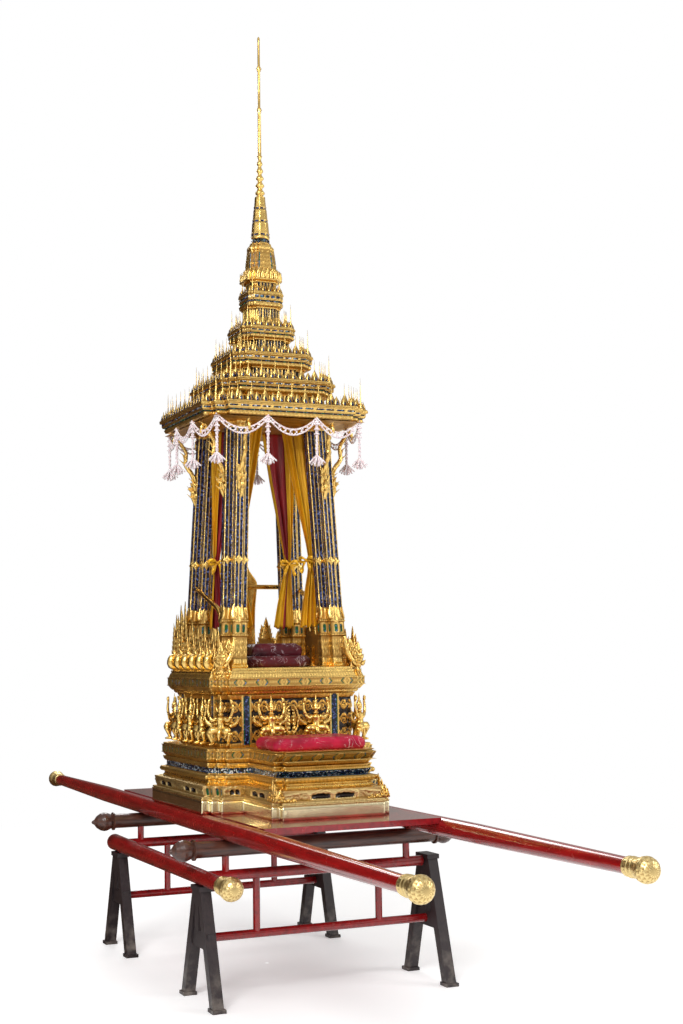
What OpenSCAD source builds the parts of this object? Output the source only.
// Spired royal palanquin on a pair of trestles.
// Origin: on the floor under the canopy's axis. +X right, -Y front, +Z up. Millimetres.

/* [Poles and board] */
// Distance between the ball centres at the two ends of a pole
pole_span = 5400; // [4600:10:6600]
// Distance between the two pole axes
pole_gap = 936; // [780:2:1130]
// Diameter of a pole under the platform
pole_d = 90; // [70:1:110]
// Diameter of a pole where it meets its collar
pole_tip_d = 66; // [50:1:80]
// Diameter of the gilt ball at a pole's end
ball_d = 102; // [85:1:125]
// Length of the lacquered board
board_len = 2260; // [2000:10:2700]
// Thickness of the lacquered board
board_t = 28; // [20:1:36]
// Height of the board's top above the floor
board_top = 820; // [700:5:1000]

/* [Trestles] */
// Distance between the two trestles
trestle_gap = 1392; // [1200:4:1700]
// Distance between the two A-frames of a trestle, centre to centre
frame_gap = 1170; // [1100:5:1400]
// Spread of an A-frame's feet, centre to centre
foot_spread = 414; // [340:2:500]
// Height of a free-standing A-frame
frame_h = 600; // [500:5:620]
// Side of an A-frame's square leg
leg_w = 52; // [40:1:60]
// Diameter of an upper rail
upper_rail_d = 50; // [40:1:60]
// Diameter of a lower rail
lower_rail_d = 40; // [30:1:50]
// Height of the upper rails' centre line
upper_rail_z = 566; // [480:2:590]
// Height of the lower rails' centre line
lower_rail_z = 290; // [200:2:340]
// Diameter of a turned crossbar under the poles
crossbar_d = 76; // [60:1:84]
// Diameter of the turned bud at a crossbar's end
bud_d = 100; // [84:1:120]
// Diameter of an upright between the rails
upright_d = 34; // [24:1:40]
// Length of the lacquered side beam, without its ball
side_beam_len = 1790; // [1500:5:2200]
// Diameter of the side beam's plain far end
side_beam_d = 86; // [60:1:90]

/* [Throne base] */
// Half the width of the plinth
plinth_half = 488; // [420:2:580]
// Depth of one step in a redented corner of the base
corner_step = 38; // [20:1:46]
// Half the width of the front step
step_half = 300; // [240:2:340]
// How far the front step's plinth stands out from the axis
step_front = 905; // [760:5:1080]
// Height of the plinth with its lion-foot band
plinth_h = 140; // [110:1:180]
// Height of the waist mouldings above the plinth
waist_h = 100; // [80:1:130]
// Height of the lower cornice
lower_cornice_h = 70; // [56:1:90]
// Height of the figure frieze
frieze_h = 260; // [210:1:320]
// Height of the upper cornice under the seat
upper_cornice_h = 130; // [104:1:160]

/* [Seat] */
// Half the width of the seat cushion
cushion_half = 200; // [170:1:205]
// Thickness of the seat cushion
cushion_t = 54; // [40:1:70]
// Half the width of the smaller cushion on top of it
top_cushion_half = 150; // [120:1:160]
// Thickness of the smaller cushion
top_cushion_t = 62; // [40:1:80]
// Thickness of the step cushion
step_cushion_t = 55; // [40:1:75]
// Thickness of a carved panel
panel_t = 26; // [18:1:34]
// Height of the seat back's tip above the seat deck
back_h = 628; // [520:2:700]
// Height of the rear rail above the seat deck
rail_h = 437; // [360:1:480]

/* [Posts and canopy] */
// Distance from the axis to a post's foot, each way
post_half = 277; // [262:1:292]
// Width of a post, over its stepped corners
post_w = 130; // [110:1:140]
// Height of the posts between the seat deck and the canopy
post_h = 1265; // [1050:5:1520]
// How far a post leans in towards the axis, each way
post_lean = 57; // [20:1:70]
// Half the width of the eave tier
eave_half = 460; // [400:2:550]
// Height of the canopy from the eave to the bell
roof_h = 790; // [660:5:950]
// Height of the spire from the bell's foot to its tip
spire_h = 1379; // [1150:5:1650]

/* [Hidden] */
$fn = 64;

// clearance between pieces that rest against each other
gap = 0.3;
pole_x = pole_gap / 2;
pole_r = pole_d / 2;
// the poles' tops lie just under the plinth
pole_z = board_top - pole_r - 1;
trestle_y = trestle_gap / 2;
frame_x = frame_gap / 2;
crossbar_z = pole_z - pole_r - gap - crossbar_d / 2;
// the straight stretch of a pole reaches past the board, where the carrying slings go
grip_len = 300;
pole_straight = max(board_len / 2, trestle_gap / 2 + crossbar_d) + grip_len;
collar_len = 70;

plinth_z = board_top;
waist_z = plinth_z + plinth_h;
lower_cornice_z = waist_z + waist_h;
deck_z = lower_cornice_z + lower_cornice_h;
upper_cornice_z = deck_z + frieze_h;
seat_z = upper_cornice_z + upper_cornice_h;
eave_z = seat_z + post_h;
bell_z = eave_z + roof_h;

// sections of the base: bottom and top as shares of the piece's own height,
// inset of the sides, inset of the front step
PLINTH_ROWS = [
  [0.00, 0.08, 0, 0],
  [0.08, 0.50, 6, 6],
  [0.50, 0.57, 0, 0],
  [0.57, 0.86, 20, 26],
  [0.86, 1.00, 34, 46]
];
WAIST_ROWS = [
  [0.00, 0.22, 50, 84],
  [0.22, 0.46, 34, 62],
  [0.46, 0.80, 62, 108],
  [0.80, 1.00, 50, 98]
];
LOWER_CORNICE_ROWS = [
  [0.00, 0.28, 56, 104],
  [0.28, 0.84, 40, 92],
  [0.84, 1.00, 48, 98]
];
FRIEZE_INSET = 128;
UPPER_CORNICE_ROWS = [
  [0.00, 0.14, 96],
  [0.14, 0.30, 80],
  [0.30, 0.58, 62],
  [0.58, 0.84, 76],
  [0.84, 1.00, 92]
];

// the plan of the base: a square with stepped corners
module redented(half, step, steps) {
  for (i = [0:steps])
    square([2 * (half - i * step), 2 * (half - (steps - i) * step)], center = true);
}

// the same plan with the front step added
module base_plan(inset, front_inset) {
  redented(plinth_half - inset, corner_step, 2);
  for (i = [0:1])
    translate([-(step_half - inset - i * corner_step), -(step_front - front_inset - (1 - i) * corner_step)])
      square([2 * (step_half - inset - i * corner_step), step_front / 2]);
}

// sections stacked from a table whose rows hold shares of the height
module base_stack(z, h, rows) {
  for (row = rows)
    translate([0, 0, z + row[0] * h])
      linear_extrude((row[1] - row[0]) * h) base_plan(row[2], row[3]);
}

// a cylinder along X or along Y between two ends
module bar_x(x0, x1, d) { translate([x0, 0, 0]) rotate([0, 90, 0]) cylinder(h = x1 - x0, d = d); }
module bar_y(y0, y1, d0, d1) {
  translate([0, y0, 0]) rotate([-90, 0, 0]) cylinder(h = y1 - y0, d1 = d0, d2 = d1);
}

// ---- trestles ----

foot_pad_h = 16;
plate_h = 22;

// one A-frame standing across a trestle's end, from the floor up to its top plate
module a_frame(top) {
  half = foot_spread / 2;
  head = leg_w * 0.62;
  bar_z = lower_rail_z - 38;
  color("#26201f") {
    for (s = [-1, 1]) {
      translate([-leg_w / 2, 0, 0]) rotate([90, 0, 90]) linear_extrude(leg_w)
        polygon([[s * (half - leg_w / 2), 0], [s * (half + leg_w / 2), 0],
                 [s * (head + leg_w / 2), top - plate_h], [s * (head - leg_w / 2), top - plate_h]]);
      translate([-leg_w * 0.62, s * half - leg_w * 0.7, 0]) cube([leg_w * 1.24, leg_w * 1.4, foot_pad_h]);
    }
    translate([-leg_w * 0.62, -head - leg_w * 0.62, top - plate_h])
      cube([leg_w * 1.24, 2 * head + leg_w * 1.24, plate_h]);
    translate([-leg_w * 0.3, -half * 0.62, bar_z]) cube([leg_w * 0.6, half * 1.24, 76]);
    translate([-leg_w / 2, -leg_w * 0.5, bar_z + 76]) cube([leg_w, leg_w, top - plate_h - bar_z - 76]);
  }
}

// the upper rail runs between the right A-frame and the side beam or left A-frame
module upper_rail() {
  color("#8e1b1a") difference() {
    translate([0, 0, upper_rail_z]) bar_x(-frame_x, frame_x - leg_w * 0.62 - gap, upper_rail_d);
    beam_envelope();
  }
}

module lower_rail() {
  color("#8e1b1a") translate([0, 0, lower_rail_z])
    bar_x(-frame_x + leg_w * 0.3 + gap, frame_x - leg_w * 0.3 - gap, lower_rail_d);
}

// the uprights: two between the rails, two under the crossbar below the poles
module uprights(y) {
  color("#8e1b1a") {
    for (x = [-0.27 * frame_gap, 0.27 * frame_gap]) difference() {
      translate([x, y, lower_rail_z]) cylinder(h = upper_rail_z - lower_rail_z, d = upright_d);
      translate([0, y, lower_rail_z]) bar_x(-frame_x, frame_x, lower_rail_d + 2 * gap);
      translate([0, y, upper_rail_z]) bar_x(-frame_x, frame_x, upper_rail_d + 2 * gap);
    }
    for (x = [-pole_x, pole_x]) difference() {
      translate([x, y, upper_rail_z]) cylinder(h = crossbar_z - upper_rail_z, d = upright_d);
      translate([0, y, upper_rail_z]) bar_x(-frame_x, frame_x, upper_rail_d + 2 * gap);
      translate([0, y, crossbar_z]) bar_x(-frame_x, frame_x, crossbar_d + 2 * gap);
    }
  }
}

bud_x = frame_x + bud_d * 0.9;

// a turned bar with a collared, pointed bud at each end
module crossbar() {
  color("#2b1c17") translate([0, 0, crossbar_z]) {
    bar_x(-bud_x + bud_d * 0.42, bud_x - bud_d * 0.42, crossbar_d);
    for (s = [0, 180]) rotate([0, 0, s]) translate([bud_x, 0, 0]) rotate([0, 90, 0])
      rotate_extrude() polygon([
        [0, -0.55 * bud_d], [0.48 * bud_d, -0.55 * bud_d], [0.48 * bud_d, -0.47 * bud_d],
        [0.36 * bud_d, -0.42 * bud_d], [0.42 * bud_d, -0.30 * bud_d], [0.49 * bud_d, -0.12 * bud_d],
        [0.50 * bud_d, 0.02 * bud_d], [0.45 * bud_d, 0.20 * bud_d], [0.32 * bud_d, 0.40 * bud_d],
        [0.14 * bud_d, 0.54 * bud_d], [0.07 * bud_d, 0.66 * bud_d], [0, 0.70 * bud_d]]);
  }
}

side_beam_far = trestle_y + 112;
side_beam_near = side_beam_far - side_beam_len;
side_beam_near_d = side_beam_d * 0.8;

// the side beam's radius at a place along it
function side_beam_r(y) =
  (side_beam_near_d + (side_beam_d - side_beam_near_d) * (y - side_beam_near) / side_beam_len) / 2;
// the height of an A-frame that carries the side beam at a place along it
function left_top(y) = upper_rail_z - side_beam_r(y + leg_w) - gap;

module side_beam_solid(extra) {
  translate([-frame_x, 0, upper_rail_z])
    bar_y(side_beam_near - extra, side_beam_far + extra, side_beam_near_d + 2 * extra, side_beam_d + 2 * extra);
}
// the room that rails leave for the side beam
module beam_envelope() {
  for (y = [-trestle_y, trestle_y]) translate([0, -y, 0]) side_beam_solid(gap);
}

module side_beam() { color("#8e1b1a") side_beam_solid(0); }

// a pole's gilt end, from its seat on the pole out along -Y: collar, gadrooned neck, chased ball
module ball_end(seat_d, d) {
  color("#d9ab45") rotate([90, 0, 0]) rotate_extrude() polygon(concat(
    [[0, 0], [seat_d / 2 + 5, 0], [seat_d / 2 + 6, collar_len * 0.12], [seat_d / 2 + 3, collar_len * 0.2],
     [seat_d / 2 + 2, collar_len * 0.72], [seat_d / 2 + 7, collar_len * 0.82],
     [seat_d / 2 + 6, collar_len * 0.94], [seat_d / 2 - 3, collar_len]],
    [for (a = [-50:10:80]) [d / 2 * cos(a), collar_len + d / 2 * (sin(50) + sin(a)) + 4]],
    [[0.05 * d, collar_len + d * 0.905], [0, collar_len + d * 0.93]]));
}
ball_reach = collar_len + ball_d / 2 * sin(50) + 4;

module side_beam_ball() {
  translate([-frame_x, side_beam_near - gap, upper_rail_z]) ball_end(side_beam_near_d, ball_d * 1.06);
}

// ---- poles and board ----

pole_end = pole_span / 2 - ball_reach;

module pole(s) {
  color("#a01a18") translate([s * pole_x, 0, pole_z]) {
    bar_y(-pole_straight, pole_straight, pole_d, pole_d);
    bar_y(pole_straight - 1, pole_end, pole_d, pole_tip_d);
    bar_y(-pole_end, -pole_straight + 1, pole_tip_d, pole_d);
  }
}

module pole_ball(sx, sy) {
  translate([sx * pole_x, sy * (pole_end + gap), pole_z])
    rotate([0, 0, sy > 0 ? 180 : 0]) ball_end(pole_tip_d, ball_d);
}

// the board's long edges are scribed over the poles' shoulders
module board() {
  board_half = pole_x - pole_r * 0.62;
  color("#9a1d20") difference() {
    translate([-board_half, -board_len / 2, board_top - board_t]) cube([2 * board_half, board_len, board_t]);
    for (s = [-1, 1]) translate([s * pole_x, 0, pole_z]) bar_y(-board_len, board_len, pole_d + 2 * gap, pole_d + 2 * gap);
  }
}

// ---- throne base ----

module plinth() { color("#d8b25a") base_stack(plinth_z, plinth_h, PLINTH_ROWS); }
module waist() { color("#b98227") base_stack(waist_z, waist_h, WAIST_ROWS); }
module lower_cornice() { color("#e0b654") base_stack(lower_cornice_z, lower_cornice_h, LOWER_CORNICE_ROWS); }

frieze_half = plinth_half - FRIEZE_INSET;

// the frieze's core: a stepped square with two flat pilasters on each side
module frieze_plan(grow) {
  pilaster_w = 52;
  redented(frieze_half + grow, corner_step, 1);
  for (turn = [0, 90, 180, 270], s = [-1, 1]) rotate(turn)
    translate([s * frieze_half * 0.66 - pilaster_w / 2 - grow, -frieze_half - 8 - grow])
      square([pilaster_w + 2 * grow, 30]);
}

module frieze() { color("#8a5a20") translate([0, 0, deck_z]) linear_extrude(frieze_h) frieze_plan(0); }

figure_r = 32;
figure_out = frieze_half + figure_r + 6;
bead_h = 16;
bead_front = figure_out + figure_r + 6;
// where the figures stand along one side, as shares of the frieze's half width
FIGURE_PLACES = [-0.37, 0.37];

// one crouching figure that bears the cornice with both arms, facing -Y, standing at z = 0
module figure(h) {
  rotate_extrude() polygon([
    [0, 0], [figure_r, 0], [figure_r, h * 0.20], [figure_r * 0.62, h * 0.34], [figure_r * 0.9, h * 0.54],
    [figure_r * 0.3, h * 0.62], [figure_r * 0.62, h * 0.70], [figure_r * 0.5, h * 0.80],
    [figure_r * 0.16, h * 0.92], [0, h]]);
  for (s = [-1, 1]) translate([s * h * 0.1, 0, h * 0.5]) rotate([0, s * 20, 0]) cylinder(h = h * 0.48, r = h * 0.045);
}

// a bead moulding round the frieze's foot with the figures standing on it
module frieze_figures() {
  h = frieze_h - bead_h - gap;
  color("#d9a945") {
    difference() {
      translate([0, 0, deck_z]) linear_extrude(bead_h) redented(bead_front, corner_step, 2);
      translate([0, 0, deck_z - 1]) linear_extrude(bead_h + 2) frieze_plan(gap);
    }
    for (turn = [0, 90, 180, 270]) rotate([0, 0, turn]) {
      for (place = FIGURE_PLACES)
        translate([place * frieze_half, -figure_out, deck_z + bead_h - 1]) figure(h);
      rotate([0, 0, -45]) translate([0, -figure_out * 1.31, deck_z + bead_h - 1]) figure(h);
    }
  }
}

module upper_cornice() {
  color("#e0b654") for (row = UPPER_CORNICE_ROWS)
    translate([0, 0, upper_cornice_z + row[0] * upper_cornice_h])
      linear_extrude((row[1] - row[0]) * upper_cornice_h) redented(plinth_half - row[2], corner_step, 2);
}

// ---- seat ----

module cushion(size, r) {
  translate([-size[0] / 2 + r, -size[1] / 2 + r, 0]) linear_extrude(size[2])
    union() {
      translate([-r, 0]) square([size[0], size[1] - 2 * r]);
      translate([0, -r]) square([size[0] - 2 * r, size[1]]);
      for (x = [0, size[0] - 2 * r], y = [0, size[1] - 2 * r]) translate([x, y]) circle(r = r);
    }
}

// the cushions lie a little forward of the posts' middle
seat_shift = -60;

module seat_cushion() {
  color("#4a0c1c") translate([0, seat_shift, seat_z]) cushion([2 * cushion_half, 2 * cushion_half + 80, cushion_t], 50);
}

module top_cushion() {
  color("#4a0c1c") translate([0, seat_shift, seat_z + cushion_t])
    cushion([2 * top_cushion_half, 2 * top_cushion_half, top_cushion_t], 50);
}

step_deck_front = step_front - LOWER_CORNICE_ROWS[2][3];

module step_cushion() {
  depth = step_deck_front - bead_front - 30;
  color("#b01048") translate([0, -bead_front - 10 - depth / 2, deck_z])
    cushion([2 * step_half - 90, depth, step_cushion_t], 40);
}

seat_edge = plinth_half - UPPER_CORNICE_ROWS[4][2];

rail_d = 26;
stem_y = -165;
post_step = post_w / 3;
// how far a post's middle stands from the axis at a height above the seat deck
function post_at(z) = post_half - post_lean * z / post_h;
// the rear rail runs across the back faces of the rear posts
rail_y = post_at(rail_h) + post_w / 2 + rail_d / 2 + 2 * gap;

// a straight polished rail across the backs of the rear posts
module rear_rail() {
  color("#e2b13c") translate([0, rail_y, seat_z + rail_h]) bar_x(-post_at(rail_h), post_at(rail_h), rail_d);
}

// an arm rail from a rear post, falling towards the front and turned down to the deck
module arm_rail(s) {
  drop = 145;
  rear_y = post_at(rail_h);
  rear_z = rail_h - rail_d / 2;
  slope = atan(drop / (rear_y - stem_y));
  x = s * (post_at(rail_h) + post_step / 2 + rail_d / 2 + 2);
  color("#e2b13c") difference() {
    translate([x, 0, seat_z]) {
      translate([0, rear_y, rear_z]) rotate([slope, 0, 0]) bar_y((stem_y - rear_y) / cos(slope) - 5, 0, rail_d, rail_d);
      translate([0, stem_y, 0]) cylinder(h = rear_z - drop + 3, d = rail_d);
      translate([0, stem_y, rear_z - drop]) sphere(d = rail_d + 4);
    }
    post_envelopes();
  }
}

splat_half = 100;
splat_t = 16;

// a vase-shaped splat with a pointed top, standing on the deck behind the rear rail
module seat_back() {
  y = rail_y + rail_d / 2 + gap + splat_t;
  neck = 84;
  color("#d9a63c") translate([0, y, seat_z]) rotate([90, 0, 0]) linear_extrude(splat_t)
    polygon([for (s = [1, -1], i = [0:12])
      let (t = s > 0 ? i / 12 : 1 - i / 12, z = t * back_h)
      [s * (z < rail_h ? neck + (splat_half - neck) * pow(2 * z / rail_h - 1, 2)
                       : splat_half * (1 - (z - rail_h) / (back_h - rail_h)) * 1.1), z]]);
}

// a carved panel whose flames climb towards its far end, drawn along +X from x = 0
module flame_panel(len, low, high, flames) {
  rotate([90, 0, 0]) linear_extrude(panel_t) polygon(concat(
    [[0, 0]],
    [for (i = [0:flames - 1], p = [0, 1])
      let (t = (i + (p == 0 ? 0.15 : 0.75)) / flames)
      [t * len, (low + (high - low) * t * t) * (p == 0 ? 0.66 : 1)]],
    [[len, 0]]));
}

panel_out = seat_edge - panel_t - 2;
// flame tips along a side panel from its front end: columns are place, height as shares
SIDE_FLAMES = [[0.04, 0.55], [0.16, 0.50], [0.30, 0.54], [0.44, 0.58], [0.58, 0.64], [0.72, 0.98], [0.83, 0.92], [0.97, 0.80]];
WING_FLAMES = [[0.18, 0.78], [0.45, 0.56], [0.70, 0.42], [0.92, 0.3]];
flame_h = 355;

// a carved panel along +X from x = 0, its top edge rising to a tip at each flame
module flame_panel(len, flames) {
  rotate([90, 0, 0]) linear_extrude(panel_t) polygon(concat(
    [[0, 0]],
    [for (flame = flames, side = [-1, 0, 1])
      [(flame[0] + side * 0.035) * len, flame_h * (side == 0 ? flame[1] : flame[1] * 0.62)]],
    [[len, 0]]));
}

module side_panel(s) {
  len = 2 * panel_out - panel_t;
  color("#cf9f3e") translate([s * panel_out - panel_t / 2, -panel_out + panel_t, seat_z])
    rotate([0, 0, 90]) flame_panel(len, SIDE_FLAMES);
}

// two leafy wings, one on each side of the seat back
module rear_panels() {
  from = splat_half * 1.1 + 6;
  for (s = [-1, 1]) mirror([s < 0 ? 1 : 0, 0, 0])
    color("#cf9f3e") translate([from, panel_out + panel_t / 2, seat_z])
      flame_panel(panel_out - panel_t / 2 - gap - from, WING_FLAMES);
}

// ---- posts ----

sleeve_h = 305;
sleeve_t = 3;

// a post's own shape before it is cut level: leaning, with stepped corners
module post_solid(sx, sy, h, grow) {
  tilt = atan(post_lean / post_h);
  translate([sx * post_half, sy * post_half, seat_z]) rotate([sy * tilt, -sx * tilt, 0])
    translate([0, 0, -20]) linear_extrude(h + 20) redented(post_w / 2 + grow, post_step, 1);
}

// the room that the rails leave for the posts
module post_envelopes() {
  for (sx = [-1, 1], sy = [-1, 1]) post_solid(sx, sy, post_h, gap);
}

// a leaning post in a gilt sleeve, with two brackets up to the eave
module post(sx, sy) {
  difference() {
    union() {
      color("#1b2440") post_solid(sx, sy, post_h + 20, 0);
      color("#d9a63c") post_solid(sx, sy, sleeve_h, sleeve_t);
      color("#d9a63c") translate([sx * post_half, sy * post_half, seat_z])
        for (turn = [0, 1]) bracket(sx, sy, turn);
    }
    translate([0, 0, seat_z - 200]) cube([2000, 2000, 400], center = true);
    translate([0, 0, eave_z + 200]) cube([2000, 2000, 400], center = true);
  }
}

// a carved bracket that leaves a post near its top and curls out under the eave
module bracket(sx, sy, turn) {
  out = eave_half * 0.8 - post_half;
  foot = post_h * 0.72;
  root = post_w / 2 - post_lean * 0.85;
  rotate([0, 0, turn == 0 ? (sx > 0 ? 0 : 180) : (sy > 0 ? 90 : 270)])
    translate([0, (turn == 0 ? -sx * sy : sx * sy) * post_lean * 0.85 + 12, 0]) rotate([90, 0, 0]) linear_extrude(24)
      polygon([[root - 30, foot], [root, foot + 20], [root + 22, foot + 90], [out * 0.8, foot + 200],
               [out, post_h], [out - 30, post_h], [out * 0.6, foot + 230], [root + 4, foot + 150], [root - 30, foot + 120]]);
}

// ---- canopy ----

// tiers of the roof: columns are foot and top as shares of roof_h, half width as a share of eave_half
ROOF_TIERS = [[0, 0.089, 1], [0.184, 0.275, 0.70], [0.380, 0.473, 0.494], [0.589, 0.671, 0.328], [0.817, 0.924, 0.217]];

module roof_plan(half) { redented(half, half * 0.11, 2); }

// one cornice, with the recessed wall that carries the next tier
module roof_tier(i) {
  tier = ROOF_TIERS[i];
  last = len(ROOF_TIERS) - 1;
  z0 = eave_z + tier[0] * roof_h;
  z1 = eave_z + tier[1] * roof_h;
  top = i < last ? eave_z + ROOF_TIERS[i + 1][0] * roof_h : bell_z;
  half = tier[2] * eave_half;
  wall = i < last ? ROOF_TIERS[i + 1][2] * eave_half * 0.84 : half * 0.7;
  rope_h = 0.3 * (z1 - z0);
  rise = top - z0 - rope_h - gap;
  color("#dcae48") {
    translate([0, 0, z0]) linear_extrude(z1 - z0) roof_plan(half * 0.94);
    translate([0, 0, z0]) linear_extrude(rope_h) roof_plan(half * 0.975);
    translate([0, 0, z0 + 1.4 * rope_h]) linear_extrude(z1 - z0 - 1.4 * rope_h) roof_plan(half);
    translate([0, 0, z0 + rope_h]) linear_extrude(rise) roof_plan(wall);
  }
}

bell_h = 240;

module bell() {
  color("#dcae48") translate([0, 0, bell_z]) rotate_extrude() polygon([
    [0, 0], [100, 0], [102, 10], [84, 16], [80, 40], [76, 62], [72, 100], [68, 132],
    [62, 160], [52, 196], [48, 216], [47, bell_h], [0, bell_h]]);
}

// the octagonal cone, its lotus rings and the slender rod with two knobs
module spire() {
  z0 = bell_z + bell_h;
  top = bell_z + spire_h;
  cone_h = 236;
  ring_h = 42;
  rings = 5;
  rod_z = z0 + cone_h + rings * ring_h;
  rod_h = top - rod_z;
  color("#e2b554") {
    translate([0, 0, z0]) rotate([0, 0, 22.5]) linear_extrude(cone_h * 0.34) circle(r = 46, $fn = 8);
    translate([0, 0, z0 + cone_h * 0.34]) rotate([0, 0, 22.5]) linear_extrude(cone_h * 0.33) circle(r = 38, $fn = 8);
    translate([0, 0, z0 + cone_h * 0.67]) rotate([0, 0, 22.5]) linear_extrude(cone_h * 0.34) circle(r = 30, $fn = 8);
    for (i = [0:rings - 1]) {
      r = 27 - 2.5 * i;
      translate([0, 0, z0 + cone_h + i * ring_h]) rotate_extrude()
        polygon([[0, 0], [r * 0.55, 0], [r, ring_h * 0.4], [r * 0.9, ring_h * 0.6], [r * 0.5, ring_h], [0, ring_h]]);
    }
    translate([0, 0, rod_z]) rotate_extrude() polygon([
      [0, 0], [8, 0], [20, rod_h * 0.02], [7, rod_h * 0.05], [6, rod_h * 0.36], [15, rod_h * 0.39],
      [6, rod_h * 0.42], [5, rod_h * 0.70], [13, rod_h * 0.73], [4, rod_h * 0.76], [3, rod_h * 0.97], [0, rod_h]]);
  }
}

// ---- garland and curtains ----

swag_t = 16;
swag_drop = 95;
tassel_h = 250;
// hanging points under one side's edge, as shares of eave_half: columns are x, y
HANG = [[-0.85, -0.85], [-0.29, -0.94], [0.29, -0.94], [0.85, -0.85]];

// strung flowers: swags between the hanging points, and a tassel at each
module garland() {
  color("#efe6e4") for (turn = [0, 90, 180, 270]) rotate([0, 0, turn]) for (i = [0:2]) {
    from = HANG[i] * eave_half;
    span = HANG[i + 1] * eave_half - from;
    translate([from[0], from[1], eave_z - gap]) {
      rotate([0, 0, atan2(span[1], span[0])]) translate([0, swag_t / 2, 0]) rotate([90, 0, 0])
        linear_extrude(swag_t) swag_outline(norm(span));
      translate([0, 0, -tassel_h]) cylinder(h = 60, r1 = 26, r2 = 8);
      translate([0, 0, -tassel_h]) cylinder(h = tassel_h, r = 6);
    }
  }
}

// a hanging band between two points on one level: its upper edge, then its lower edge back
module swag_outline(span) {
  n = 8;
  slack = swag_drop * 4 / pow(span, 2);
  start = 14;
  function hang(x) = -slack * x * (span - x);
  function at(k) = start + (span - 2 * start) * k / n;
  polygon(concat(
    [for (k = [0:n]) [at(k), hang(at(k)) + (k == 0 || k == n ? -hang(at(k)) : 8)]],
    [for (k = [n:-1:0]) [at(k), hang(at(k)) - 14]]));
}

// a tied-back curtain on a post's inner side: gathered at the eave, tied, flared below
module curtain(sx, sy) {
  t = 40;
  tilt = atan(post_lean / post_h);
  tie = post_h * 0.44;
  foot = post_h * 0.165;
  top = post_h - 2 * t * sin(tilt) - gap;
  color("#c79712") translate([0, sy * (post_half - post_w / 2 - sleeve_t - gap), seat_z]) rotate([sy * tilt, 0, 0])
    translate([0, sy > 0 ? 0 : t, 0]) rotate([90, 0, 0]) linear_extrude(t)
      polygon([for (p = [[238, top], [48, top], [188, tie + 130], [208, tie + 24], [208, tie - 24], [132, foot],
                         [246, foot], [240, tie - 24], [240, tie + 24]]) [sx * p[0], p[1]]]);
}

translate([-frame_x, -trestle_y, 0]) a_frame(left_top(-trestle_y));  // near_left_a_frame
translate([frame_x, -trestle_y, 0]) a_frame(frame_h);  // near_right_a_frame
translate([-frame_x, trestle_y, 0]) a_frame(left_top(trestle_y));  // far_left_a_frame
translate([frame_x, trestle_y, 0]) a_frame(frame_h);  // far_right_a_frame
translate([0, -trestle_y, 0]) upper_rail();  // near_upper_rail
translate([0, trestle_y, 0]) upper_rail();  // far_upper_rail
translate([0, -trestle_y, 0]) lower_rail();  // near_lower_rail
translate([0, trestle_y, 0]) lower_rail();  // far_lower_rail
uprights(-trestle_y);  // near_uprights
uprights(trestle_y);  // far_uprights
translate([0, -trestle_y, 0]) crossbar();  // near_crossbar
translate([0, trestle_y, 0]) crossbar();  // far_crossbar
side_beam();
side_beam_ball();
pole(-1);  // left_pole
pole(1);  // right_pole
pole_ball(-1, -1);  // front_left_ball
pole_ball(1, -1);  // front_right_ball
pole_ball(-1, 1);  // rear_left_ball
pole_ball(1, 1);  // rear_right_ball
board();
plinth();
waist();
lower_cornice();
frieze();
frieze_figures();
upper_cornice();
seat_cushion();
top_cushion();
step_cushion();
seat_back();
rear_rail();
arm_rail(-1);  // left_arm_rail
arm_rail(1);  // right_arm_rail
side_panel(-1);  // left_panel
side_panel(1);  // right_panel
rear_panels();
post(-1, -1);  // front_left_post
post(1, -1);  // front_right_post
post(-1, 1);  // rear_left_post
post(1, 1);  // rear_right_post
roof_tier(0);  // eave
roof_tier(1);  // second_roof
roof_tier(2);  // third_roof
roof_tier(3);  // fourth_roof
roof_tier(4);  // fifth_roof
bell();
spire();
garland();
curtain(-1, -1);  // front_left_curtain
curtain(1, -1);  // front_right_curtain
curtain(-1, 1);  // rear_left_curtain
curtain(1, 1);  // rear_right_curtain
